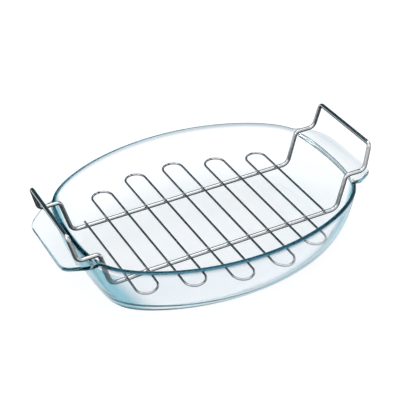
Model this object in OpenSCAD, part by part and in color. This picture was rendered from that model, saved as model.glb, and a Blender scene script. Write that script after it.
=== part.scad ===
// Oval glass roasting dish with a lift-out wire rack.
// Millimetres, +Z up. The origin is the middle of the flat underside of the dish,
// +X points to the right-hand handle and +Y to the back.

/* [Dish rim] */
// Height of the dish from its underside to the top of the lip
dish_h = 71; // [62:1:85]
// Width of the dish across the lip, at the middle of its long sides
rim_w = 273; // [262:1:290]
// Length of the dish body at the lip, without its handles
rim_l = 336; // [326:1:346]
// How far the rim oval would reach past each of its straightened ends
rim_end_cut = 20.5; // [15:0.5:32]
// Thickness of the glass in the walls and the floor
glass_t = 4.6; // [3.6:0.2:5.2]

/* [Dish foot] */
// How much further in the foot stands than the rim, at the middle of each long side
side_taper = 30.5; // [26:0.5:36]
// The same at the ends
end_taper = 27.5; // [24:0.5:34]
// How far the foot oval would reach past each of its straightened ends
foot_end_cut = 25.5; // [20:0.5:33]
// Radius of the rounding between the underside and the wall
foot_r = 8; // [6:0.5:12]
// How far in from the foot's edge the floor starts to curve up into the wall
floor_curve_l = 5; // [3:0.5:8]

/* [Dish handles] */
// How far each glass handle stands out past the body
tab_l = 26; // [19:1:33]
// Width of the handle at its outer edge
tab_w = 93; // [81:1:105]
// Width of the handle where it grows out of the rim
tab_root_w = 132; // [122:1:142]
// Thickness of the handle
tab_t = 6; // [5:0.5:7.5]
// How much lower the outer edge of the handle lies than the lip
tab_droop = 6; // [2:0.5:10]

/* [Rack frame] */
// Diameter of the frame wire
frame_d = 5; // [4:0.5:6]
// Distance between the two rails, centre to centre
rail_gauge = 109.5; // [96:0.5:114]
// Height of the rail centres above the floor inside the dish
rail_above_floor = 26.9; // [18:0.1:34]
// How much further in each riser stands at its foot than at the rim
riser_lean = 11.4; // [8:0.2:16]
// Length of the level stretch of wire that rests on the rim
shelf_l = 24.5; // [20:0.5:30]
// Height of the grip bar above the resting stretch
grip_h = 30.7; // [24:0.1:40]
// How far the grip leans outwards over that height
grip_lean = 7.3; // [3:0.1:10]
// How far each side of the grip leans in towards the other
grip_toe_in = 3.1; // [0:0.1:6]
// Play between the rack and the inner edge of the rim
rim_play = 0.8; // [0.5:0.1:1.6]

/* [Rack grid] */
// Diameter of the grid wire
grid_d = 2.5; // [2:0.25:3.5]
// Number of bars across the rails
bar_count = 11; // [7:2:13]
// Distance from the outermost bars to the bends where the rails rise
bar_end_gap = 9.5; // [8:0.5:14]
// Play between the grid's loops and the wall of the dish
loop_play = 0.8; // [0.6:0.1:3]
// How far the two free ends of the wire reach past the rails
free_end_l = 4; // [3:0.5:8]
// How deep the weld sets the grid wire into the rails
weld_depth = 0.35; // [0.2:0.05:0.5]

/* [Hidden] */
$fn = 48;

// Gap that stands for the contact between the resting wire and the glass lip
seat_gap = 0.3;
// How far a cut runs past the face that it opens
overrun = 1;
// Glass that is ground off the moulded foot to make it flat
foot_grind = 0.4;

// How squarely the straightened ends turn into the sides: a larger power turns tighter
body_corner_power = 22;
// The same for the corners of a handle, and for the hollow where it meets the rim
tab_corner_power = 55;
// Half width, as a share of the half length, of the shallow oval that the ends follow
end_bow_share = 1.9;
tab_bow_share = 4;
// Steepness of the wall where it meets the lip, at the ends and at the sides, from level
end_rim_angle = 81;
side_rim_angle = 90;

rim_oval_l = rim_l + 2 * rim_end_cut;
foot_w = rim_w - 2 * side_taper;
foot_l = rim_l - 2 * end_taper;
foot_oval_l = foot_l + 2 * foot_end_cut;
lip_r = glass_t / 2;
rim_z = dish_h - lip_r;
tab_x = rim_l / 2 + tab_l;

// Share of the wall's arc that the thicker glass of the inner corner takes up
corner_share = 0.3;

// Rows of points up the outside, over the lip and down the inside of the glass
foot_rows = 4;
wall_rows = 4;
under_rows = 4;
edge_rows = 4;
top_rows = 3;
lip_rows = 3;
inner_wall_rows = 5;
floor_rows = 4;
// Columns of points in one quarter: along the handle's edge, round its corner, along the side
end_steps = 3;
corner_steps = 12;
side_steps = 13;
// Share of the wall that the root of a handle takes up, and of the lip's turn that its top takes
root_share = 0.1;
top_turn = 30;
// Overhang at which the lip has fully become a handle
tab_blend_l = tab_l / 4;
// Power of the handle's droop along its length
droop_power = 1.6;

rail_r = frame_d / 2;
bar_r = grid_d / 2;
// How much a wire swells where it is bent, and how far its straight runs reach into the bends
bend_swell = 0.02;
bend_lap = 0.25;
rail_end_bend_r = 2 * frame_d;
rim_bend_r = frame_d;
shelf_bend_r = 1.6 * frame_d;
grip_bend_r = frame_d;
rail_y = rail_gauge / 2;
rail_z = glass_t + rail_above_floor;
shelf_z = dish_h + seat_gap + rail_r;
bar_z = rail_z + rail_r + bar_r - weld_depth;

// Several distances merged into one with rounded turns: the least of them, or the greatest
function soft_min(list, power) = pow([for (d = list) pow(d, -power)] * [for (d = list) 1], -1 / power);
function soft_max(list, power) = pow([for (d = list) pow(d, power)] * [for (d = list) 1], 1 / power);

// Distance from the centre to an oval in direction t, and to one whose ends are straightened
function oval(t, half_l, half_w) = 1 / norm([cos(t) / half_l, sin(t) / half_w]);
function outline(t, l, w, oval_l) =
    soft_min([oval(t, oval_l / 2, w / 2), oval(t, l / 2, end_bow_share * l / 2)], body_corner_power);
function foot_at(t) = outline(t, foot_l, foot_w, foot_oval_l);
function rim_at(t) = outline(t, rim_l, rim_w, rim_oval_l);

// A handle is bounded by its outer edge, its slanted sides and the width of its root
tab_side = [(tab_root_w - tab_w) / 2, tab_l];
tab_side_distance = (tab_side * [tab_x, tab_w / 2]) / norm(tab_side);
function tab_at(t) = soft_min([
    oval(t, tab_x, tab_bow_share * tab_x),
    tab_side_distance * norm(tab_side) / (tab_side * [abs(cos(t)), abs(sin(t))]),
    tab_root_w / 2 / max(abs(sin(t)), sin(1))
], tab_corner_power);
function edge_at(t) = soft_max([rim_at(t), tab_at(t)], tab_corner_power);

// Angle through which the foot rounding turns before the wall leaves it. The wall is one arc
// from there to the rim, so each trial angle is corrected by how far its arc misses the steepness
// wanted at the rim.
function rim_angle(t) = end_rim_angle + (side_rim_angle - end_rim_angle) * pow(sin(t), 2);
function foot_point(a) = foot_r * [sin(a), 1 - cos(a)];
function chord_angle(w, a) = let (p = foot_point(a)) atan2(rim_z - p.y, w - p.x);
function foot_turn(w, wanted, a = 50, trials = 12) =
    trials == 0 ? a : foot_turn(w, wanted, a + (2 * chord_angle(w, a) - a - wanted) / 2, trials - 1);

// The wall as [width out to the rim, first angle, turn, radius, centre]
function wall_arc(t) = let (
    w = rim_at(t) - foot_at(t),
    first = foot_turn(w, rim_angle(t)),
    start = foot_point(first),
    turn = 2 * (chord_angle(w, first) - first),
    radius = norm([w, rim_z] - start) / 2 / sin(turn / 2)
) [w, first, turn, radius, start + radius * [-sin(first), cos(first)]];
function on_wall(arc, share, inset = 0) =
    let (a = arc[1] + arc[2] * share) arc[4] + (arc[3] - inset) * [sin(a), -cos(a)];

// Inside of the wall, as a point in the plan, in direction t at height z
function inner_wall_at(t, z) =
    let (arc = wall_arc(t), dz = z - arc[4].y)
    (foot_at(t) + arc[4].x + sqrt(pow(arc[3] - glass_t, 2) - dz * dz)) * [cos(t), sin(t)];

function blend(a, b, share) = a + (b - a) * share;
function on_curve(a, b, c, share) = blend(blend(a, b, share), blend(b, c, share), share);
function droop_at(overhang) = tab_droop * pow(overhang / tab_l, droop_power);

// Control points of the curve inside the corner: its end on the floor, where the lines of the
// floor and the wall meet, and its end on the wall
function inner_corner(arc) = let (
    lean = arc[1] + arc[2] * corner_share,
    top = on_wall(arc, corner_share, glass_t)
) [[-floor_curve_l, glass_t], [top.x - (top.y - glass_t) / tan(lean), glass_t], top];

// One section of the glass in direction t, from the underside round to the floor, as
// [distance past the foot's edge, height]. Where no handle stands out, its rows lie on the lip.
function section(t) = let (
    arc = wall_arc(t),
    overhang = max(0, edge_at(t) - rim_at(t)),
    tab_share = min(1, overhang / tab_blend_l),
    edge_r = blend(lip_r, tab_t / 2, tab_share),
    edge_c = [arc[0] + overhang - edge_r, dish_h - droop_at(overhang) - edge_r],
    edge_start = -90 * tab_share,
    edge_low = edge_c + edge_r * [cos(edge_start), sin(edge_start)],
    root = on_wall(arc, 1 - root_share),
    root_corner = [arc[0], dish_h - tab_t],
    lip_c = [arc[0] - lip_r, rim_z],
    lip_start = 90 + top_turn * (1 - tab_share),
    corner = inner_corner(arc)
) concat(
    [for (i = [0:foot_rows]) let (a = arc[1] * i / foot_rows)
        i == 0 ? [0, -foot_grind] : foot_point(a)],
    [for (i = [1:wall_rows]) on_wall(arc, (1 - root_share) * i / wall_rows)],
    [for (i = [1:under_rows]) let (s = i / under_rows)
        blend(on_wall(arc, 1 - root_share + root_share * s),
              on_curve(root, root_corner, edge_low, s), tab_share)],
    [for (i = [1:edge_rows]) let (a = blend(edge_start, 90, i / edge_rows))
        edge_c + edge_r * [cos(a), sin(a)]],
    [for (i = [1:top_rows]) let (s = i / top_rows, a = 90 + top_turn * s, reach = overhang * (1 - s))
        blend(lip_c + lip_r * [cos(a), sin(a)],
              [blend(edge_c.x, lip_c.x, s), dish_h - droop_at(reach)], tab_share)],
    [for (i = [1:lip_rows]) let (a = blend(lip_start, 180, i / lip_rows))
        lip_c + lip_r * [cos(a), sin(a)]],
    [for (i = [inner_wall_rows - 1:-1:0])
        on_wall(arc, blend(corner_share, 1, i / inner_wall_rows), glass_t)],
    [for (i = [floor_rows - 1:-1:0]) on_curve(corner[0], corner[1], corner[2], i / floor_rows)]
);

// Directions of the columns, closer together round the corners of the handles
corner_from = atan2(tab_w / 4, tab_x);
corner_to = atan2(tab_root_w / 2, rim_l / 2 - tab_l);
quarter = concat(
    [for (i = [0:end_steps - 1]) corner_from * i / end_steps],
    [for (i = [0:corner_steps - 1]) blend(corner_from, corner_to, i / corner_steps)],
    [for (i = [0:side_steps - 1]) blend(corner_to, 90, i / side_steps)]
);
columns = concat(
    quarter, [90], [for (i = [len(quarter) - 1:-1:1]) 180 - quarter[i]],
    [for (a = quarter) 180 + a], [270], [for (i = [len(quarter) - 1:-1:1]) 360 - quarter[i]]
);

// Skin over rings of points, each ring one row of the sections, closed by the foot and the floor
module glass_blank() {
    count = len(columns);
    sections = [for (t = columns) section(t)];
    rows = len(sections[0]);
    points = [for (r = [0:rows - 1], c = [0:count - 1])
        let (p = sections[c][r], out = foot_at(columns[c]) + p.x)
        [out * cos(columns[c]), out * sin(columns[c]), p.y]];
    skin = [for (r = [0:rows - 2], c = [0:count - 1])
        let (a = r * count + c, b = r * count + (c + 1) % count)
        each [[a, a + count, b + count], [a, b + count, b]]];
    foot_face = [for (c = [0:count - 1]) c];
    floor_face = [for (c = [count - 1:-1:0]) (rows - 1) * count + c];
    polyhedron(points, concat(skin, [foot_face, floor_face]), convexity = 6);
}

// The dish with its handles, pressed in one piece, its foot ground flat
module glass_dish() {
    color([0.78, 0.88, 0.92, 0.45])
    difference() {
        glass_blank();
        translate([-rim_l / 2, -rim_w / 2, -foot_grind - overrun])
            cube([rim_l, rim_w, foot_grind + overrun]);
    }
}

// Round bar from one point to another
module straight_wire(from, to, r) {
    along = (to - from) / norm(to - from);
    side = abs(along.z) < 0.5 ? [0, 0, 1] : [0, 1, 0];
    x = cross(side, along) / norm(cross(side, along));
    y = cross(along, x);
    multmatrix([
        [x.x, y.x, along.x, from.x],
        [x.y, y.y, along.y, from.y],
        [x.z, y.z, along.z, from.z]
    ]) cylinder(h = norm(to - from), r = r);
}

// Wire bent along a closed path: straight runs between corners that are rounded to bends
module closed_wire(path, bends, r) {
    count = len(path);
    function unit(i) = let (d = path[(i + 1) % count] - path[i % count]) d / norm(d);
    function turn(i) = acos(unit(i + count - 1) * unit(i));
    function setback(i) = bends[i % count] * tan(turn(i) / 2);
    for (i = [0:count - 1]) {
        u = unit(i + count - 1);
        v = unit(i);
        inward = (v - (u * v) * u) / norm(v - (u * v) * u);
        start = path[i] - setback(i) * u;
        centre = start + bends[i] * inward;
        axis = cross(-inward, u);
        multmatrix([
            [-inward.x, u.x, axis.x, centre.x],
            [-inward.y, u.y, axis.y, centre.y],
            [-inward.z, u.z, axis.z, centre.z]
        ]) rotate_extrude(angle = turn(i)) translate([bends[i], 0]) circle(r + bend_swell);
        straight_wire(path[i] + (setback(i) - bend_lap) * v,
                      path[(i + 1) % count] - (setback(i + 1) - bend_lap) * v, r);
    }
}

// The risers stand just inside the lip, at the width of the rails
rim_stop = min([for (t = [0:0.5:45])
    let (p = (rim_at(t) - glass_t) * [cos(t), sin(t)]) if (abs(p.y - rail_y) < frame_d) p.x]);
rim_bend_x = rim_stop - rim_play - rail_r;
rail_end_x = rim_bend_x - riser_lean;
shelf_end_x = rim_bend_x + shelf_l;

// Corners of the frame from the right-hand rail end at the back up to the grip
frame_corner = [
    [rail_end_x, rail_y, rail_z],
    [rim_bend_x, rail_y, shelf_z],
    [shelf_end_x, rail_y, shelf_z],
    [shelf_end_x + grip_lean, rail_y - grip_toe_in, shelf_z + grip_h]
];
frame_bend = [rail_end_bend_r, rim_bend_r, shelf_bend_r, grip_bend_r];
function flipped(list) = [for (i = [len(list) - 1:-1:0]) list[i]];
function scaled(list, x, y) = [for (p = list) [p.x * x, p.y * y, p.z]];
frame_path = concat(
    frame_corner, flipped(scaled(frame_corner, 1, -1)),
    scaled(frame_corner, -1, -1), flipped(scaled(frame_corner, -1, 1))
);
frame_bends = concat(frame_bend, flipped(frame_bend), frame_bend, flipped(frame_bend));

// One endless wire makes both rails, the risers, the resting stretches and the grips
module rack_frame() {
    color("silver")
    closed_wire(frame_path, frame_bends, rail_r);
}

// The bars share out the straight length of the rails
riser_angle = atan2(shelf_z - rail_z, riser_lean);
bar_span = 2 * (rail_end_x - rail_end_bend_r * tan(riser_angle / 2) - bar_end_gap);
bar_pitch = bar_span / (bar_count - 1);
loop_r = bar_pitch / 2;
function bar_x(i) = (i - (bar_count - 1) / 2) * bar_pitch;

// Furthest that the centre of a loop at x may lie from the middle and still clear the wall
loop_room = loop_r + bar_r + loop_play;
wall_points = [for (t = [20:0.5:90]) inner_wall_at(t, bar_z)];
function loop_limit(x) = min([for (p = wall_points)
    if (abs(p.x - x) < loop_room) p.y - sqrt(pow(loop_room, 2) - pow(p.x - x, 2))]);

// Loops are bent to a few lengths: each pair, from the middle out, takes the room of its outer one
last_rank = (bar_count - 3) / 2;
function loop_rank(i) = round(abs(bar_x(i) + loop_r) / bar_pitch - 1 / 2);
function loop_y(i) =
    loop_limit((min(2 * floor(loop_rank(i) / 2) + 1, last_rank) + 1 / 2) * bar_pitch);

// Loop i joins bars i and i + 1, at the front and the back by turns
function joins_front(i) = i % 2 == 0;
function front_end(i) = let (j = joins_front(i) ? i : i - 1)
    j < bar_count - 1 ? -loop_y(j) : -rail_y - free_end_l;
function back_end(i) = let (j = joins_front(i) ? i - 1 : i)
    j >= 0 ? loop_y(j) : rail_y + free_end_l;

// One long wire bent to and fro, laid on the rails and set into them by its welds
module grid_wire() {
    color("gainsboro")
    difference() {
        union() {
            for (i = [0:bar_count - 1])
                straight_wire([bar_x(i), front_end(i) - (i < bar_count - 1 ? bend_lap : 0), bar_z],
                              [bar_x(i), back_end(i) + (i > 0 ? bend_lap : 0), bar_z], bar_r);
            for (i = [0:bar_count - 2])
                translate([bar_x(i) + loop_r, joins_front(i) ? -loop_y(i) : loop_y(i), bar_z])
                    rotate(joins_front(i) ? 180 : 0)
                        rotate_extrude(angle = 180) translate([loop_r, 0]) circle(bar_r + bend_swell);
        }
        for (side = [-1, 1])
            straight_wire([-bar_span, side * rail_y, rail_z], [bar_span, side * rail_y, rail_z], rail_r);
    }
}

glass_dish();
rack_frame();
grid_wire();
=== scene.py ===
"""Looks of an oval glass roasting dish with a lift-out wire rack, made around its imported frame.

Lengths are in metres. +X points to the right-hand handle, +Y to the back and +Z up, and the
origin is the middle of the flat underside of the dish.
"""

import logging
import math
from collections.abc import Mapping, Sequence
from dataclasses import dataclass
from enum import Enum
from typing import Any

import bpy
import numpy as np
from mathutils import Matrix, Vector

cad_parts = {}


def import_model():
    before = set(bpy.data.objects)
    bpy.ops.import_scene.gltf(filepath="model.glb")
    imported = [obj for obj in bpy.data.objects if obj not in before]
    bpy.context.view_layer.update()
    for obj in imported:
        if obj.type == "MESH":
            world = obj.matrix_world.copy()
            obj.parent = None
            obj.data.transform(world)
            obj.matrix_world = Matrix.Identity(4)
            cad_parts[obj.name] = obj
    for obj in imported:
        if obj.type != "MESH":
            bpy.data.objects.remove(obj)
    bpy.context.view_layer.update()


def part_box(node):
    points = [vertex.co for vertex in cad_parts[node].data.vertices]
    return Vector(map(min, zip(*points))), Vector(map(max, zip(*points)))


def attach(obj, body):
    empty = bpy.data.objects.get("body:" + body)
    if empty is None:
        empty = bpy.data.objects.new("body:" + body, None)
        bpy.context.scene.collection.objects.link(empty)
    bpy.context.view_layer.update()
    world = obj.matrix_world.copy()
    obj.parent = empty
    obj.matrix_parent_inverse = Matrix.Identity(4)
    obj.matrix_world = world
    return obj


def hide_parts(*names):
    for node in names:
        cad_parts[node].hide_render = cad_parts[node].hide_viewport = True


# Attribute of the wires: how far their surface faces upwards, from -1 to 1. Their material paints
# shade on the side that faces down
FACING_UP = "facing_up"
# Attribute of the glass: how far a point belongs to the outside of the rim, from 0 to 1, which sets
# how much painted dark shade it takes
RIM_SHADE_SHARE = "rim_shade_share"
# Share of the rim's top over which its painted shade fades out
SHADED_TOP = 0.4
log = logging.getLogger("roasting_dish")

Colour = tuple[float, float, float]
Point = tuple[float, float, float]
Span = tuple[float, float]
Array = np.ndarray


class NodeMaker:
    """Adds nodes to one shader or geometry tree."""

    def __init__(self, tree: bpy.types.NodeTree) -> None:
        """Keeps the tree and empties it."""
        self.tree = tree
        tree.nodes.clear()

    def node(
        self,
        kind: str,
        settings: Mapping[str, Any] | None = None,
        values: Mapping[str | int, Any] | None = None,
    ) -> bpy.types.Node:
        """Adds one node.

        Args:
            kind: The node's type, as bpy names it.
            settings: Its properties, which are set first. "choices" is the number of values that
                an Index Switch picks from.
            values: The values or links of its sockets, by name or by position.

        Returns:
            The new node.
        """
        made = self.tree.nodes.new(kind)
        for name, setting in (settings or {}).items():
            if name == "choices":
                for _ in range(setting - len(made.index_switch_items)):
                    made.index_switch_items.new()
            else:
                setattr(made, name, setting)
        for name, value in (values or {}).items():
            self._feed(made.inputs[name], value)
        return made

    def _feed(self, socket: bpy.types.NodeSocket, value: Any) -> None:
        """Links a socket or a Number to an input, or sets its value."""
        if isinstance(value, Number):
            value = value.socket
        if isinstance(value, bpy.types.NodeSocket):
            self.tree.links.new(value, socket)
        elif isinstance(value, tuple) and socket.type == "RGBA":
            socket.default_value = (*value, 1.0)
        else:
            socket.default_value = value

    def number(self, kind: str, output: str | int, **parts: Mapping[Any, Any]) -> "Number":
        """Adds a node and returns one of its outputs as a Number.

        Args:
            kind: The node's type.
            output: Name or position of the output that carries the number.
            **parts: settings and values, as node() takes them.

        Returns:
            The output, ready for arithmetic.
        """
        return Number(self, self.node(kind, **parts).outputs[output])

    def mix(self, share: "Number | float", first: Any, second: Any) -> bpy.types.NodeSocket:
        """Blends two colours.

        Args:
            share: How much of the second colour shows, from 0 to 1.
            first: Colour or socket that shows at 0.
            second: Colour or socket that shows at 1.

        Returns:
            The socket of the blended colour.
        """
        # A Mix node that is set to RGBA has its colours at sockets 6 and 7, and its result at 2
        made = self.node("ShaderNodeMix", {"data_type": "RGBA"}, {0: share, 6: first, 7: second})
        return made.outputs[2]


class Number:
    """A socket that carries a number, on which arithmetic adds Math nodes."""

    def __init__(self, maker: NodeMaker, socket: bpy.types.NodeSocket) -> None:
        """Wraps a socket of the maker's tree."""
        self.maker = maker
        self.socket = socket

    def _math(self, operation: str, *terms: "Number | float") -> "Number":
        """Adds one Math node over the terms."""
        return self.maker.number(
            "ShaderNodeMath", 0, settings={"operation": operation}, values=dict(enumerate(terms))
        )

    def __add__(self, other: "Number | float") -> "Number":
        """Adds two numbers."""
        return self._math("ADD", self, other)

    __radd__ = __add__

    def __sub__(self, other: "Number | float") -> "Number":
        """Takes other from this number."""
        return self._math("SUBTRACT", self, other)

    def __rsub__(self, other: "Number | float") -> "Number":
        """Takes this number from other."""
        return self._math("SUBTRACT", other, self)

    def __mul__(self, other: "Number | float") -> "Number":
        """Multiplies two numbers."""
        return self._math("MULTIPLY", self, other)

    __rmul__ = __mul__

    def __truediv__(self, other: "Number | float") -> "Number":
        """Divides this number by other."""
        return self._math("DIVIDE", self, other)

    def __mod__(self, other: "Number | float") -> "Number":
        """Remainder of a whole division by other, never negative."""
        return self._math("FLOORED_MODULO", self, other)

    def __abs__(self) -> "Number":
        """Absolute value."""
        return self._math("ABSOLUTE", self)

    def whole(self) -> "Number":
        """Rounds down to a whole number."""
        return self._math("FLOOR", self)

    def below(self, limit: "Number | float") -> "Number":
        """1 where this number is less than the limit, and otherwise 0."""
        return self._math("LESS_THAN", self, limit)

    def ramp(self, low: float, high: float, start: float = 0.0, end: float = 1.0) -> "Number":
        """Turns smoothly from one number into another.

        Args:
            low: Value at and below which the result is start.
            high: Value at and above which the result is end.
            start: The first result.
            end: The last result.

        Returns:
            The smoothed number.
        """
        return self.maker.number(
            "ShaderNodeMapRange",
            "Result",
            settings={"interpolation_type": "SMOOTHSTEP"},
            values={
                "Value": self, "From Min": low, "From Max": high, "To Min": start, "To Max": end
            },
        )

    def hump(self, low: float, high: float, soft: float) -> "Number":
        """1 between low and high, fading to 0 over the width soft on either side."""
        return self.ramp(low - soft, low) * self.ramp(high, high + soft, 1.0, 0.0)


class WireTree(NodeMaker):
    """A Geometry Nodes tree that makes a wire, with named inputs for its sizes."""

    KINDS = {
        int: "NodeSocketInt",
        float: "NodeSocketFloat",
        bpy.types.Material: "NodeSocketMaterial",
    }

    def __init__(self, name: str, values: Mapping[str, Any]) -> None:
        """Starts a tree that takes and returns geometry.

        Args:
            name: Name of the tree.
            values: Value of each named input, which also gives its type.
        """
        super().__init__(bpy.data.node_groups.new(name, "GeometryNodeTree"))
        interface = self.tree.interface
        interface.new_socket("Geometry", in_out="OUTPUT", socket_type="NodeSocketGeometry")
        interface.new_socket("Geometry", in_out="INPUT", socket_type="NodeSocketGeometry")
        for key, value in values.items():
            interface.new_socket(key, in_out="INPUT", socket_type=self.KINDS[type(value)])
        self.values = values
        self.group_input = self.node("NodeGroupInput")

    def __getitem__(self, name: str) -> Number:
        """A named input."""
        return Number(self, self.group_input.outputs[name])

    def sweep(self, path: bpy.types.NodeSocket, capped: bool) -> bpy.types.NodeSocket:
        """Turns a curve into round wire of the diameter and the number of sides that are asked for.

        Args:
            path: The curve's socket.
            capped: Whether the wire has two ends to close.

        Returns:
            The socket of the wire's mesh.
        """
        ring = self.node(
            "GeometryNodeCurvePrimitiveCircle",
            {"mode": "RADIUS"},
            {"Resolution": self["Sides"], "Radius": self["Wire Diameter"] / 2},
        )
        wire = self.node(
            "GeometryNodeCurveToMesh",
            values={"Curve": path, "Profile Curve": ring.outputs["Curve"], "Fill Caps": capped},
        )
        return wire.outputs["Mesh"]

    def bend(self, path: bpy.types.NodeSocket, radius: Any) -> bpy.types.NodeSocket:
        """Rounds the corners of a curve.

        Args:
            path: The curve's socket.
            radius: Radius of the bends.

        Returns:
            The socket of the bent curve.
        """
        bent = self.node(
            "GeometryNodeFilletCurve",
            {"mode": "POLY"},
            {"Curve": path, "Count": self["Bend Steps"], "Radius": radius, "Limit Radius": True},
        )
        return bent.outputs[0]

    def run(
        self, name: str, start: bpy.types.Mesh, geometry: bpy.types.NodeSocket
    ) -> bpy.types.Object:
        """Closes the tree and runs it on a mesh.

        Args:
            name: Name of the piece.
            start: Mesh that the tree takes.
            geometry: What the tree has made.

        Returns:
            A plain, smoothly shaded mesh object at the origin, with no modifier.
        """
        real = self.node("GeometryNodeRealizeInstances", values={"Geometry": geometry})
        # How far each point faces up, which the finish turns into painted shade underneath
        normal = self.node("GeometryNodeInputNormal").outputs[0]
        facing = self.node("ShaderNodeSeparateXYZ", values={0: normal})
        kept = self.node(
            "GeometryNodeStoreNamedAttribute",
            {"data_type": "FLOAT", "domain": "POINT"},
            {"Geometry": real.outputs[0], "Name": FACING_UP, "Value": facing.outputs["Z"]},
        )
        smooth = self.node("GeometryNodeSetShadeSmooth", values={"Geometry": kept.outputs[0]})
        dressed = self.node(
            "GeometryNodeSetMaterial",
            values={"Geometry": smooth.outputs[0], "Material": self["Finish"]},
        )
        self.node("NodeGroupOutput", values={"Geometry": dressed.outputs[0]})
        carrier = placed(name + "_start", start)
        modifier = carrier.modifiers.new("make", "NODES")
        modifier.node_group = self.tree
        for item in self.tree.interface.items_tree:
            if item.name in self.values:
                modifier[item.identifier] = self.values[item.name]
        graph = bpy.context.evaluated_depsgraph_get()
        mesh = bpy.data.meshes.new_from_object(carrier.evaluated_get(graph), depsgraph=graph)
        bpy.data.objects.remove(carrier)
        mesh.name = name
        return placed(name, mesh)


def placed(name: str, mesh: bpy.types.Mesh) -> bpy.types.Object:
    """Links a mesh to the scene as an object at the origin."""
    made = bpy.data.objects.new(name, mesh)
    bpy.context.scene.collection.objects.link(made)
    return made


@dataclass(frozen=True)
class PressedGlass:
    """Clear pressed glass, with painted blue-green shade along its edges and painted dark shade on
    its thick rim.
    """

    name: str = "pressed_glass"
    clear: Colour = (0.98, 0.985, 1.0)
    # Painted dark shade on the outside of the rim
    rim: Colour = (0.012, 0.08, 0.13)
    # Painted blue-green shade where the glass turns away from the view, and sooner at the two ends
    grazing_shade: Colour = (0.07, 0.32, 0.43)
    grazing_shade_span: Span = (0.58, 0.85)
    end_bias: float = 0.3
    end_span: Span = (0.095, 0.145)
    end_softness: float = 0.01
    mirrored: Colour = (0.0, 0.0, 0.0)
    absorbed: Colour = (0.1, 0.64, 0.73)
    absorption: float = 7.8
    ior: float = 1.47
    roughness: float = 0.0
    ripple_size: float = 0.05
    ripple_height: float = 0.00004

    def make(self) -> bpy.types.Material:
        """Builds the material.

        Returns:
            A refracting glass with painted shade on its rim, its slanting edges and its ends,
            standing in for the light lost on its long way through them.
        """
        material = bpy.data.materials.new(self.name)
        material.use_nodes = True
        shader = NodeMaker(material.node_tree)
        place = shader.node("ShaderNodeTexCoord")
        # How far each point takes the rim's painted shade
        rim = shader.number("ShaderNodeAttribute", "Fac", settings={"attribute_name": RIM_SHADE_SHARE})
        x = shader.number("ShaderNodeSeparateXYZ", "X", values={"Vector": place.outputs["Object"]})
        turned = shader.number("ShaderNodeLayerWeight", "Facing")
        along = shader.number("ShaderNodeSeparateXYZ", "Y", values={"Vector": place.outputs["UV"]})
        # Painted shade: the outer wall takes the blue-green sooner at the dish's two ends than
        # along its sides, fixed by place along the dish
        outer_wall = along.hump(*Band.WALL.value, self.end_softness)
        end_shade = abs(x).ramp(*self.end_span) * outer_wall
        # Painted shade that grows as the surface turns away from the view
        grazing_shade = (turned + self.end_bias * end_shade).ramp(*self.grazing_shade_span)
        ripple = shader.node(
            "ShaderNodeTexNoise",
            values={"Vector": place.outputs["Object"], "Scale": 1 / self.ripple_size},
        )
        bump = shader.node(
            "ShaderNodeBump",
            values={"Distance": self.ripple_height, "Height": ripple.outputs["Fac"]},
        )
        surface = shader.node(
            "ShaderNodeBsdfPrincipled",
            values={
                # Clear glass, under painted blue-green shade at its edges and ends and painted dark
                # shade on the rim
                "Base Color": shader.mix(
                    rim, shader.mix(grazing_shade, self.clear, self.grazing_shade), self.rim
                ),
                "Roughness": self.roughness,
                "IOR": self.ior,
                "Transmission Weight": 1.0,
                "Specular Tint": self.mirrored,
                "Normal": bump.outputs["Normal"],
            },
        )
        body = shader.node(
            "ShaderNodeVolumeAbsorption",
            values={"Color": self.absorbed, "Density": self.absorption},
        )
        shader.node(
            "ShaderNodeOutputMaterial",
            values={"Surface": surface.outputs[0], "Volume": body.outputs[0]},
        )
        return material


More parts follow.
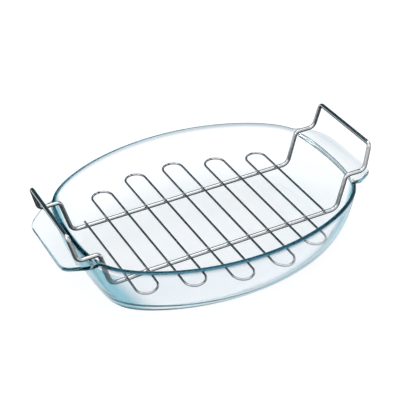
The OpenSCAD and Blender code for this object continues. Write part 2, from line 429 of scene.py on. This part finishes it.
@dataclass(frozen=True)
class PlatedWire:
    """Plated steel wire, with painted shade underneath, drawing marks, and a painted highlight
    round its welds.
    """

    name: str
    plate: Colour = (0.85, 0.86, 0.86)
    # Painted shade on the side of the wire that faces down
    underside: Colour = (0.06, 0.065, 0.07)
    # Painted highlight round the welds
    painted_weld_highlight: Colour = (1.0, 1.0, 1.0)
    edge_tint: Colour = (0.0, 0.0, 0.0)
    roughness: float = 0.1
    roughness_spread: float = 0.12
    weld_roughness: float = 0.15
    # Facing values over which the painted shade fades into the plate
    underside_shade_span: Span = (-0.05, 0.5)
    mark_size: float = 0.0012
    mark_stretch: float = 0.05
    mark_detail: float = 3.0
    mark_span: Span = (0.35, 0.75)
    mark_height: float = 0.00002
    mark_strength: float = 0.4

    def make(self, weld_spacing: float, weld_y: float, weld_reach: float) -> bpy.types.Material:
        """Builds the material.

        Args:
            weld_spacing: Distance between two bars, which are welded to the rails.
            weld_y: Distance of the rails from the middle.
            weld_reach: How far the painted highlight spreads from a weld.

        Returns:
            A polished metal with worn streaks.
        """
        material = bpy.data.materials.new(self.name)
        material.use_nodes = True
        shader = NodeMaker(material.node_tree)
        place = shader.node("ShaderNodeTexCoord").outputs["Object"]
        parts = shader.node("ShaderNodeSeparateXYZ", values={"Vector": place})
        x, y, _ = (Number(shader, socket) for socket in parts.outputs)
        up = shader.number("ShaderNodeAttribute", "Fac", settings={"attribute_name": FACING_UP})
        from_bar = abs((x / weld_spacing + 0.5) % 1.0 - 0.5) * weld_spacing
        from_rail = abs(abs(y) - weld_y)
        weld = from_bar.ramp(0.0, weld_reach, 1.0, 0.0) * from_rail.ramp(0.0, weld_reach, 1.0, 0.0)
        stretched = shader.node(
            "ShaderNodeMapping",
            values={"Vector": place, "Scale": Vector((self.mark_stretch, 1.0, 1.0))},
        )
        marks = shader.number(
            "ShaderNodeTexNoise",
            "Fac",
            values={
                "Vector": stretched.outputs[0],
                "Scale": 1 / self.mark_size,
                "Detail": self.mark_detail,
            },
        )
        bump = shader.node(
            "ShaderNodeBump",
            values={
                "Strength": self.mark_strength, "Distance": self.mark_height, "Height": marks
            },
        )
        # Painted highlight: the plate turns white round each weld, where the wires cross
        plate = shader.mix(weld, self.plate, self.painted_weld_highlight)
        worn = self.roughness_spread * marks.ramp(*self.mark_span)
        surface = shader.node(
            "ShaderNodeBsdfPrincipled",
            values={
                # Painted shade darkens the wire where it faces down
                "Base Color": shader.mix(up.ramp(*self.underside_shade_span), self.underside, plate),
                "Roughness": self.roughness + worn + self.weld_roughness * weld,
                "Metallic": 1.0,
                "Specular Tint": self.edge_tint,
                "Normal": bump.outputs["Normal"],
            },
        )
        shader.node("ShaderNodeOutputMaterial", values={"Surface": surface.outputs[0]})
        return material


class Band(Enum):
    """Stretches of the glass's section, each with its span of the UV map's second coordinate."""

    UNDERSIDE = (0.0, 0.1)
    FOOT = (0.1, 0.16)
    WALL = (0.16, 0.32)
    UNDER = (0.32, 0.4)
    EDGE = (0.4, 0.46)
    TOP = (0.46, 0.54)
    LIP = (0.54, 0.6)
    INNER_WALL = (0.6, 0.8)
    ROUNDING = (0.8, 0.88)
    FLOOR = (0.88, 1.0)

    def rim_shade_weight(self, share: float) -> float:
        """How far a row, at this share of its band, belongs to the outside of the rim, and so how
        much painted shade it takes.
        """
        fading = max(0.0, 1.0 - share / SHADED_TOP)
        return {Band.UNDER: share**2, Band.EDGE: 1.0, Band.TOP: fading}.get(self, 0.0)


@dataclass(frozen=True)
class StraightEndedOval:
    """An oval whose two ends are straightened into shallow bows."""

    length: float
    width: float
    end_cut: float
    bow_share: float = 1.9
    corner_power: float = 22.0

    def reach(self, turn: Array) -> Array:
        """Distance from the centre to the outline in each direction.

        Args:
            turn: Directions in radians, from +X.

        Returns:
            The distances.
        """
        sides = oval_reach(turn, self.length / 2 + self.end_cut, self.width / 2)
        ends = oval_reach(turn, self.length / 2, self.bow_share * self.length / 2)
        return soft_least([sides, ends], self.corner_power)


def oval_reach(turn: Array, half_length: float, half_width: float) -> Array:
    """Distance from the centre to an oval in each direction."""
    return 1 / np.hypot(np.cos(turn) / half_length, np.sin(turn) / half_width)


def soft_least(parts: Sequence[Array], power: float) -> Array:
    """The least of several distances, with a rounded turn from one to the next."""
    return sum(part**-power for part in parts) ** (-1 / power)


def soft_most(parts: Sequence[Array], power: float) -> Array:
    """The greatest of several distances, with a rounded turn from one to the next."""
    return sum(part**power for part in parts) ** (1 / power)


def blend(first: Any, second: Any, share: Any) -> Any:
    """Value that lies between two others."""
    return first + (second - first) * share


@dataclass(frozen=True)
class WallArc:
    """The outside of the wall in every direction: one arc from the foot's rounding to the lip."""

    width: Array
    first: Array
    turn: Array
    radius: Array
    centre: Array

    def at(self, share: Any, inset: float = 0.0) -> Array:
        """Points on the arc.

        Args:
            share: How far up the arc, from 0 to 1.
            inset: Depth below the outer surface.

        Returns:
            Distance past the foot's edge and height, as two rows.
        """
        angle = self.first + self.turn * share
        return self.centre + (self.radius - inset) * np.array([np.sin(angle), -np.cos(angle)])


@dataclass(frozen=True)
class GlassDish:
    """The oval dish, pressed in one piece with its two handles."""

    node: str = "glass_dish"
    body: str = "dish"
    slot: str = "clear_glass"
    height: float = 0.071
    rim_width: float = 0.273
    rim_length: float = 0.336
    rim_end_cut: float = 0.0205
    thickness: float = 0.0046
    side_taper: float = 0.0305
    end_taper: float = 0.0275
    foot_end_cut: float = 0.0255
    foot_radius: float = 0.008
    floor_curve: float = 0.005
    corner_share: float = 0.3
    handle_length: float = 0.026
    handle_width: float = 0.093
    handle_root_width: float = 0.132
    handle_thickness: float = 0.006
    handle_droop: float = 0.006
    handle_corner_power: float = 55.0
    handle_bow_share: float = 4.0
    droop_power: float = 1.6
    end_rim_angle: float = math.radians(81)
    side_rim_angle: float = math.radians(90)
    root_share: float = 0.1
    root_blend: float = 0.25
    top_turn: float = math.radians(30)
    least_turn: float = math.radians(1)
    first_guess: float = math.radians(50)
    fit_steps: int = 30
    columns: int = 448
    handle_columns: float = 5 / 9
    rows: tuple[tuple[Band, int], ...] = (
        (Band.UNDERSIDE, 5),
        (Band.FOOT, 8),
        (Band.WALL, 14),
        (Band.UNDER, 10),
        (Band.EDGE, 10),
        (Band.TOP, 10),
        (Band.LIP, 8),
        (Band.INNER_WALL, 16),
        (Band.ROUNDING, 8),
        (Band.FLOOR, 5),
    )

    @property
    def lip_radius(self) -> float:
        """Half the thickness of the wall, which the lip rounds over."""
        return self.thickness / 2

    @property
    def rim(self) -> StraightEndedOval:
        """Outline of the body at the lip."""
        return StraightEndedOval(self.rim_length, self.rim_width, self.rim_end_cut)

    @property
    def foot(self) -> StraightEndedOval:
        """Outline of the flat underside."""
        length = self.rim_length - 2 * self.end_taper
        return StraightEndedOval(length, self.rim_width - 2 * self.side_taper, self.foot_end_cut)

    def directions(self) -> Array:
        """Directions of the columns, about three times as close together over the handles.

        Returns:
            The directions in radians, in one turn from +X.
        """
        quarter = self.columns // 4
        handle = math.atan2(self.handle_root_width / 2, self.rim_length / 2 - self.handle_length)
        near = int(quarter * self.handle_columns)
        first = np.linspace(0, handle, near, endpoint=False)
        rest = np.linspace(handle, math.pi / 2, quarter - near, endpoint=False)
        right = np.concatenate([first, rest])
        left = math.pi - np.concatenate([right[1:], [math.pi / 2]])[::-1]
        half = np.concatenate([right, left])
        return np.concatenate([half, half + math.pi])

    def _handle_reach(self, turn: Array) -> Array:
        """Distance to the handle's outline in each direction."""
        end = self.rim_length / 2 + self.handle_length
        side = np.array([(self.handle_root_width - self.handle_width) / 2, self.handle_length])
        along = side @ np.array([end, self.handle_width / 2])
        facing = side @ np.abs(np.array([np.cos(turn), np.sin(turn)]))
        across = np.maximum(np.abs(np.sin(turn)), math.sin(self.least_turn))
        root = self.handle_root_width / 2 / across
        outer = oval_reach(turn, end, self.handle_bow_share * end)
        return soft_least([outer, along / facing, root], self.handle_corner_power)

    def _wall(self, turn: Array) -> WallArc:
        """Fits the wall's arc in each direction, so that it reaches the lip at its set angle."""
        width = self.rim.reach(turn) - self.foot.reach(turn)
        rise = self.height - self.lip_radius
        wanted = blend(self.end_rim_angle, self.side_rim_angle, np.sin(turn) ** 2)
        first = np.full_like(turn, self.first_guess)
        for _ in range(self.fit_steps):
            start = self.foot_radius * np.array([np.sin(first), 1 - np.cos(first)])
            chord = np.arctan2(rise - start[1], width - start[0])
            first = first + (2 * chord - first - wanted) / 2
        start = self.foot_radius * np.array([np.sin(first), 1 - np.cos(first)])
        chord = np.arctan2(rise - start[1], width - start[0])
        sweep = 2 * (chord - first)
        radius = np.hypot(width - start[0], rise - start[1]) / 2 / np.sin(sweep / 2)
        centre = start + radius * np.array([-np.sin(first), np.cos(first)])
        return WallArc(width, first, sweep, radius, centre)

    def _droop(self, overhang: Array) -> Array:
        """How far the handle's top lies below the lip at a distance from the body."""
        return self.handle_droop * (overhang / self.handle_length) ** self.droop_power

    def _rings(self, turn: Array) -> tuple[Array, list[float], Array]:
        """Works out the skin ring by ring, from the middle of the underside to that of the floor.

        Args:
            turn: Directions of the columns.

        Returns:
            Distance from the centre and height of every point, each ring's UV coordinate, and how
            far every point belongs to the rim, which sets its painted shade.
        """
        foot = self.foot.reach(turn)
        rim = self.rim.reach(turn)
        arc = self._wall(turn)
        overhang = soft_most([rim, self._handle_reach(turn)], self.handle_corner_power) - rim
        overhang = np.maximum(overhang, 0.0)
        handle = np.minimum(1.0, overhang / (self.handle_length * self.root_blend))
        edge_radius = blend(self.lip_radius, self.handle_thickness / 2, handle)
        edge_centre = np.array(
            [arc.width + overhang - edge_radius, self.height - self._droop(overhang) - edge_radius]
        )
        edge_start = -math.pi / 2 * handle
        edge_low = edge_centre + edge_radius * np.array([np.cos(edge_start), np.sin(edge_start)])
        root = arc.at(1 - self.root_share)
        corner = np.array([arc.width, np.full_like(turn, self.height - self.handle_thickness)])
        lip_centre = np.array(
            [arc.width - self.lip_radius, np.full_like(turn, self.height - self.lip_radius)]
        )
        lip_start = math.pi / 2 + self.top_turn * (1 - handle)
        wall_foot = arc.at(self.corner_share, self.thickness)
        lean = arc.first + arc.turn * self.corner_share
        level = np.full_like(turn, self.thickness)
        meeting = np.array([wall_foot[0] - (wall_foot[1] - level) / np.tan(lean), level])
        floor_end = np.array([np.full_like(turn, -self.floor_curve), level])

        def point(band: Band, share: float) -> Array:
            """Point of one band: distance past the foot's edge and height, in every direction."""
            if band is Band.UNDERSIDE:
                return np.array([foot * (share - 1), np.zeros_like(turn)])
            if band is Band.FOOT:
                angle = arc.first * share
                return self.foot_radius * np.array([np.sin(angle), 1 - np.cos(angle)])
            if band is Band.WALL:
                return arc.at((1 - self.root_share) * share)
            if band is Band.UNDER:
                lip_side = arc.at(1 - self.root_share * (1 - share))
                curve = blend(blend(root, corner, share), blend(corner, edge_low, share), share)
                return blend(lip_side, curve, handle)
            if band is Band.EDGE:
                angle = blend(edge_start, math.pi / 2, share)
                return edge_centre + edge_radius * np.array([np.cos(angle), np.sin(angle)])
            if band is Band.TOP:
                angle = math.pi / 2 + self.top_turn * share
                facing = np.array([[math.cos(angle)], [math.sin(angle)]])
                over_lip = lip_centre + self.lip_radius * facing
                reach = overhang * (1 - share)
                out = blend(edge_centre[0], lip_centre[0], share)
                return blend(over_lip, np.array([out, self.height - self._droop(reach)]), handle)
            if band is Band.LIP:
                angle = blend(lip_start, math.pi, share)
                return lip_centre + self.lip_radius * np.array([np.cos(angle), np.sin(angle)])
            if band is Band.INNER_WALL:
                return arc.at(blend(1, self.corner_share, share), self.thickness)
            if band is Band.ROUNDING:
                curve = (blend(wall_foot, meeting, share), blend(meeting, floor_end, share))
                return blend(*curve, share)
            return blend(floor_end, np.array([-foot, floor_end[1]]), share)

        rings, marks, rim_shades = [], [], []
        for band, count in self.rows:
            low, high = band.value
            open_end = band is Band.FLOOR
            for step in range(1, count if open_end else count + 1):
                share = step / count
                rings.append(point(band, share) + np.array([foot, np.zeros_like(foot)]))
                marks.append(blend(low, high, share))
                # The handles take none of the rim's painted shade
                rim_shades.append(band.rim_shade_weight(share) * (1 - handle))
        return np.array(rings), marks, np.array(rim_shades)

    def build(self) -> bpy.types.Object:
        """Builds the dish's mesh.

        Returns:
            A closed, smoothly shaded mesh object with a UV map of turn and section.
        """
        turn = self.directions()
        rings, marks, rim_shades = self._rings(turn)
        count, ring_count = len(turn), len(rings)
        out, rise = rings[:, 0], rings[:, 1]
        skin = np.stack([out * np.cos(turn), out * np.sin(turn), rise], axis=2)
        poles = [(0.0, 0.0, 0.0), (0.0, 0.0, self.thickness)]
        points = [tuple(p) for p in skin.reshape(-1, 3)] + poles
        under, floor = len(points) - 2, len(points) - 1
        faces: list[tuple[int, ...]] = []
        spans: list[tuple[tuple[float, float], ...]] = []
        for column in range(count):
            after = (column + 1) % count
            u, v = column / count, (column + 1) / count
            faces.append((under, after, column))
            spans.append(((u, 0.0), (v, marks[0]), (u, marks[0])))
            for ring in range(ring_count - 1):
                low, high = ring * count, (ring + 1) * count
                faces.append((low + column, low + after, high + after, high + column))
                spans.append(
                    ((u, marks[ring]), (v, marks[ring]), (v, marks[ring + 1]), (u, marks[ring + 1]))
                )
            top = (ring_count - 1) * count
            faces.append((top + column, top + after, floor))
            spans.append(((u, marks[-1]), (v, marks[-1]), (u, 1.0)))
        mesh = bpy.data.meshes.new("roasting_dish")
        mesh.from_pydata(points, [], faces)
        mesh.uv_layers.new(name="turn_and_section")
        flat = [value for span in spans for corner in span for value in corner]
        mesh.uv_layers[0].data.foreach_set("uv", flat)
        # How far each point takes the rim's painted shade
        rim = mesh.attributes.new(RIM_SHADE_SHARE, "FLOAT", "POINT")
        rim.data.foreach_set("value", np.append(rim_shades, [0.0, 0.0]))
        mesh.shade_smooth()
        mesh.validate()
        return placed("roasting_dish", mesh)

    def dress(self, glass: bpy.types.Material) -> bpy.types.Object:
        """Builds the dish, gives it its glass and puts it in place of its node.

        Args:
            glass: The finished material.

        Returns:
            The piece.
        """
        piece = self.build()
        piece.data.materials.append(glass)
        return stand_for(piece, self.body, self.node)


@dataclass(frozen=True)
class WireRack:
    """The rack: an endless frame wire that rests on the lip, and a serpentine grid welded to it."""

    body: str = "rack"
    frame_node: str = "rack_frame"
    grid_node: str = "grid_wire"
    frame_diameter: float = 0.005
    rail_gauge: float = 0.1095
    rail_height: float = 0.0315
    shelf_height: float = 0.0738
    riser_lean: float = 0.0114
    shelf_length: float = 0.0245
    grip_height: float = 0.0307
    grip_lean: float = 0.0073
    grip_toe_in: float = 0.0031
    grid_diameter: float = 0.0025
    bar_count: int = 11
    bar_spacing: float = 0.024945
    long_loop: float = 0.1218
    middle_loop: float = 0.1067
    short_loop: float = 0.09287
    free_end: float = 0.004
    weld_depth: float = 0.00035
    weld_width: float = 0.0042
    weld_height: float = 0.0018
    # How far the painted highlight round each weld spreads
    weld_highlight_reach: float = 0.006
    bead_segments: int = 16
    bead_rings: int = 8
    # Radius of each bend of the frame in wire diameters, from the rail up to the grip
    bends: tuple[float, ...] = (2.0, 1.0, 1.6, 1.0)
    bend_steps: int = 10
    sides: int = 24

    @property
    def rail_y(self) -> float:
        """Distance of each rail from the middle."""
        return self.rail_gauge / 2

    @property
    def bar_height(self) -> float:
        """Height of the grid wire's centre."""
        return self.rail_height + (self.frame_diameter + self.grid_diameter) / 2 - self.weld_depth

    def _frame_corners(self, reach: float) -> list[tuple[Vector, float]]:
        """Corners of one quarter of the frame wire, from the rail's end up to the grip.

        Args:
            reach: How far the wire's outermost surface lies from the middle.

        Returns:
            Each corner and the radius of its bend.
        """
        grip_x = reach - self.frame_diameter / 2
        shelf_end = grip_x - self.grip_lean
        rim_bend = shelf_end - self.shelf_length
        y, level = self.rail_y, self.shelf_height
        corners = [
            (rim_bend - self.riser_lean, y, self.rail_height),
            (rim_bend, y, level),
            (shelf_end, y, level),
            (grip_x, y - self.grip_toe_in, level + self.grip_height),
        ]
        radii = [share * self.frame_diameter for share in self.bends]
        return [(Vector(corner), radius) for corner, radius in zip(corners, radii)]

    def _frame_path(self, reach: float) -> bpy.types.Mesh:
        """Closed path of the frame wire, each point with the radius of its bend."""
        quarter = self._frame_corners(reach)
        corners = []
        for sx, sy, backwards in ((1, 1, False), (1, -1, True), (-1, -1, False), (-1, 1, True)):
            part = [(Vector((p.x * sx, p.y * sy, p.z)), r) for p, r in quarter]
            corners += part[::-1] if backwards else part
        count = len(corners)
        mesh = bpy.data.meshes.new("frame_path")
        mesh.from_pydata([p for p, _ in corners], [(i, (i + 1) % count) for i in range(count)], [])
        bends = mesh.attributes.new("bend_radius", "FLOAT", "POINT")
        bends.data.foreach_set("value", [r for _, r in corners])
        return mesh

    def build_frame(self, material: bpy.types.Material) -> bpy.types.Object:
        """Bends the frame wire: its path's corners are rounded, and the wire follows it.

        Args:
            material: Its finish.

        Returns:
            The wire as a mesh object.
        """
        tree = WireTree(
            "bent_frame_wire",
            {
                "Wire Diameter": self.frame_diameter,
                "Bend Steps": self.bend_steps,
                "Sides": self.sides,
                "Finish": material,
            },
        )
        path = tree.node("GeometryNodeMeshToCurve", values={"Mesh": tree["Geometry"]})
        radius = tree.node(
            "GeometryNodeInputNamedAttribute", {"data_type": "FLOAT"}, {"Name": "bend_radius"}
        )
        wire = tree.sweep(tree.bend(path.outputs[0], radius.outputs[0]), False)
        return tree.run("bent_frame", self._frame_path(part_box(self.frame_node)[1].x), wire)

    def build_grid(self, material: bpy.types.Material) -> bpy.types.Object:
        """Bends the grid wire to and fro and adds the welds that hold it.

        Args:
            material: Its finish.

        Returns:
            The wire as a mesh object.
        """
        tree = WireTree(
            "serpentine_grid",
            {
                "Bar Count": self.bar_count,
                "Bar Spacing": self.bar_spacing,
                "Height": self.bar_height,
                "Rail Distance": self.rail_y,
                "Free End": self.free_end,
                "Long Loop": self.long_loop,
                "Middle Loop": self.middle_loop,
                "Short Loop": self.short_loop,
                "Wire Diameter": self.grid_diameter,
                "Weld Width": self.weld_width,
                "Weld Height": self.weld_height,
                "Bend Steps": self.bend_steps,
                "Sides": self.sides,
                "Finish": material,
            },
        )
        bars, spacing, rail = tree["Bar Count"], tree["Bar Spacing"], tree["Rail Distance"]
        index = tree.number("GeometryNodeInputIndex", 0)
        # Each bar has two points, and the next bar starts at the side where this one ends
        x = ((index / 2).whole() - (bars - 1) / 2) * spacing
        side = 2 * ((index + 1) % 4).below(1.5) - 1
        # Loops are ranked from the middle outwards, and two ranks share one length. The 0.1 keeps
        # whole numbers from being rounded down by one.
        rank = abs(((index - 1) / 2).whole() - (bars - 2) / 2) - 0.5
        pair = tree.number(
            "FunctionNodeFloatToInt",
            0,
            settings={"rounding_mode": "FLOOR"},
            values={0: (rank + 0.1) / 2},
        )
        loop = tree.number(
            "GeometryNodeIndexSwitch",
            0,
            settings={"data_type": "FLOAT", "choices": 3},
            values={0: pair, 1: tree["Long Loop"], 2: tree["Middle Loop"], 3: tree["Short Loop"]},
        )
        # The first and the last point are the wire's two free ends
        free = index.below(0.5) + (2 * bars - 1.5 - index).below(0.0)
        bent = (1 - free) * (loop - tree["Wire Diameter"] / 2)
        y = side * (free * (rail + tree["Free End"]) + bent)
        corners = self._lay(tree, 2 * bars, x, y, tree["Height"])
        path = tree.node("GeometryNodeMeshToCurve", values={"Mesh": corners})
        wire = tree.sweep(tree.bend(path.outputs[0], spacing / 2), True)

        rail_top = tree["Height"] - tree["Wire Diameter"] / 2
        crossings = self._lay(tree, 2 * bars, x, side * rail, rail_top)
        # A ball of diameter 1, which the width and height of the welds turn into a flat bead
        bead = tree.node(
            "GeometryNodeMeshUVSphere",
            values={"Segments": self.bead_segments, "Rings": self.bead_rings, "Radius": 0.5},
        )
        squat = tree.node(
            "ShaderNodeCombineXYZ",
            values={"X": tree["Weld Width"], "Y": tree["Weld Width"], "Z": tree["Weld Height"]},
        )
        welds = tree.node(
            "GeometryNodeInstanceOnPoints",
            values={"Points": crossings, "Instance": bead.outputs[0], "Scale": squat.outputs[0]},
        )
        both = tree.node("GeometryNodeJoinGeometry")
        for part in (wire, welds.outputs[0]):
            tree.tree.links.new(part, both.inputs[0])
        return tree.run("serpentine_grid", bpy.data.meshes.new("grid_start"), both.outputs[0])

    @staticmethod
    def _lay(
        tree: WireTree, count: Number, x: Number, y: Number, z: Number
    ) -> bpy.types.NodeSocket:
        """Lays out a row of joined points.

        Args:
            tree: Tree that they are made in.
            count: How many points there are.
            x: Place of each along the dish.
            y: Place of each across it.
            z: Height of each.

        Returns:
            The socket of the row's mesh.
        """
        row = tree.node("GeometryNodeMeshLine", values={"Count": count})
        where = tree.node("ShaderNodeCombineXYZ", values={"X": x, "Y": y, "Z": z})
        laid = tree.node(
            "GeometryNodeSetPosition",
            values={"Geometry": row.outputs[0], "Position": where.outputs[0]},
        )
        return laid.outputs[0]


def stand_for(piece: bpy.types.Object, body: str, node: str) -> bpy.types.Object:
    """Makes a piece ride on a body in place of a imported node.

    Args:
        piece: The piece.
        body: Body that it moves with.
        node: Node that it replaces.

    Returns:
        The same piece.
    """
    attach(piece, body)
    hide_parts(node)
    low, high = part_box(node)
    corners = [piece.matrix_world @ Vector(c) for c in piece.bound_box]
    worst = max(
        max(low[axis] - min(c[axis] for c in corners), max(c[axis] for c in corners) - high[axis])
        for axis in range(3)
    )
    log.info(
        "%s: %d faces, at most %.2f mm outside %s",
        piece.name,
        len(piece.data.polygons),
        worst * 1000,
        node,
    )
    return piece


@dataclass(frozen=True)
class PhotoCamera:
    """The camera of the photograph, fitted to the straight wires of the rack."""

    azimuth: float = math.radians(-26.681)
    elevation: float = math.radians(34.509)
    roll: float = math.radians(-1.451)
    distance: float = 1.3601
    right_shift: float = -0.00622
    up_shift: float = 0.02201
    aim_height: float = 0.0315
    lens: float = 106.79
    sensor: float = 36.0
    far: float = 50.0

    def place(self) -> None:
        """Creates the camera and makes it the scene's own."""
        a, e = self.azimuth, self.elevation
        back = Vector((math.sin(a) * math.cos(e), -math.cos(a) * math.cos(e), math.sin(e)))
        level = Vector((math.cos(a), math.sin(a), 0.0))
        above = back.cross(level)
        right = math.cos(self.roll) * level + math.sin(self.roll) * above
        up = math.cos(self.roll) * above - math.sin(self.roll) * level
        data = bpy.data.cameras.new("photo_camera")
        data.lens = self.lens
        data.sensor_width = self.sensor
        data.clip_end = self.far
        camera = bpy.data.objects.new("photo_camera", data)
        bpy.context.scene.collection.objects.link(camera)
        aim = Vector((0.0, 0.0, self.aim_height)) + self.right_shift * right + self.up_shift * up
        turn = Matrix((right, up, back)).transposed().to_4x4()
        camera.matrix_world = Matrix.Translation(aim + self.distance * back) @ turn
        bpy.context.scene.camera = camera


@dataclass(frozen=True)
class SoftBox:
    """A rectangular white studio light that points at the dish."""

    name: str
    position: Point
    width: float
    depth: float
    power: float

    def place(self, target: Vector) -> None:
        """Creates the light.

        Args:
            target: Point that it faces.
        """
        data = bpy.data.lights.new(self.name, "AREA")
        data.shape = "RECTANGLE"
        data.size, data.size_y = self.width, self.depth
        data.energy = self.power
        light = bpy.data.objects.new(self.name, data)
        bpy.context.scene.collection.objects.link(light)
        light.location = self.position
        light.rotation_euler = (target - Vector(self.position)).to_track_quat("-Z", "Y").to_euler()


@dataclass(frozen=True)
class Studio:
    """Pale table, soft boxes, and a room that the wire mirrors and the glass lets through."""

    floor_size: float = 12.0
    floor_gap: float = 0.0002
    floor_colour: Colour = (0.4, 0.4, 0.41)
    floor_glow: Colour = (0.8, 0.8, 0.8)
    floor_roughness: float = 0.9
    horizon: Colour = (0.64, 0.67, 0.7)
    dim_wall: Colour = (0.016, 0.05, 0.064)
    ceiling: Colour = (0.76, 0.77, 0.8)
    horizon_span: Span = (0.05, 0.15)
    ceiling_span: Span = (0.06, 0.3)
    # How much higher the dim wall reaches towards +X and +Y, and where it ends
    dim_side: Span = (0.36, 0.714)
    dim_span: Span = (0.45, 0.58)
    target: Point = (0.0, 0.0, 0.05)
    light_bounces: int = 48
    lights: tuple[SoftBox, ...] = (
        SoftBox("overhead_box", (0.2, 0.3, 1.7), 1.6, 1.2, 6.0),
        SoftBox("left_box", (-1.6, -0.5, 0.9), 0.5, 1.2, 3.0),
        SoftBox("right_box", (1.5, 0.6, 0.8), 0.4, 1.1, 3.0),
    )

    def _floor(self) -> None:
        """Lays the table and makes it glow, so that it is nearly white and no shadow is hard."""
        half = self.floor_size / 2
        mesh = bpy.data.meshes.new("studio_floor")
        corners = [(-half, -half), (half, -half), (half, half), (-half, half)]
        mesh.from_pydata([(x, y, -self.floor_gap) for x, y in corners], [], [(0, 1, 2, 3)])
        floor = placed("studio_floor", mesh)
        material = bpy.data.materials.new("studio_floor")
        material.use_nodes = True
        shader = NodeMaker(material.node_tree)
        surface = shader.node(
            "ShaderNodeBsdfPrincipled",
            values={
                "Base Color": self.floor_colour,
                "Roughness": self.floor_roughness,
                "Emission Color": self.floor_glow,
                "Emission Strength": 1.0,
            },
        )
        shader.node("ShaderNodeOutputMaterial", values={"Surface": surface.outputs[0]})
        mesh.materials.append(material)

    def _room(self) -> None:
        """Builds the world: a pale horizon, a dim wall that is highest behind, a bright ceiling."""
        world = bpy.data.worlds.new("studio_room")
        bpy.context.scene.world = world
        world.use_nodes = True
        shader = NodeMaker(world.node_tree)
        direction = shader.node("ShaderNodeTexCoord").outputs["Generated"]
        parts = shader.node("ShaderNodeSeparateXYZ", values={"Vector": direction})
        x, y, rise = (Number(shader, socket) for socket in parts.outputs)
        above_wall = rise - self.dim_side[0] * x - self.dim_side[1] * y
        lit = above_wall.ramp(*self.dim_span) * rise.ramp(*self.ceiling_span)
        room = shader.mix(lit, self.dim_wall, self.ceiling)
        colour = shader.mix(rise.ramp(*self.horizon_span), self.horizon, room)
        glow = shader.node("ShaderNodeBackground", values={"Color": colour, "Strength": 1.0})
        shader.node("ShaderNodeOutputWorld", values={"Surface": glow.outputs[0]})

    def place(self) -> None:
        """Sets up the floor, the room and the lights."""
        self._floor()
        self._room()
        for light in self.lights:
            light.place(Vector(self.target))
        scene = bpy.context.scene
        scene.view_settings.view_transform = "Standard"
        # Light that the glass reflects inside its walls counts as a glossy bounce
        for kind in ("max_bounces", "glossy_bounces", "transmission_bounces"):
            setattr(scene.cycles, kind, self.light_bounces)


def main() -> None:
    """Builds every piece in order."""
    logging.basicConfig(level=logging.INFO, format="%(name)s: %(message)s")
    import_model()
    PhotoCamera().place()
    Studio().place()

    rack = WireRack()
    welds = (rack.bar_spacing, rack.rail_y, rack.weld_highlight_reach)
    frame_wire = PlatedWire("plated_frame_wire").make(*welds)
    # Painted shade: the grid wire takes a darker copy of the frame's plated finish
    darker_grid_copy = PlatedWire("plated_grid_wire", plate=(0.66, 0.665, 0.67), edge_tint=(0.1, 0.1, 0.1))
    grid_wire = darker_grid_copy.make(*welds)
    stand_for(rack.build_frame(frame_wire), rack.body, rack.frame_node)
    stand_for(rack.build_grid(grid_wire), rack.body, rack.grid_node)
    GlassDish().dress(PressedGlass().make())


if __name__ == "__main__":
    main()
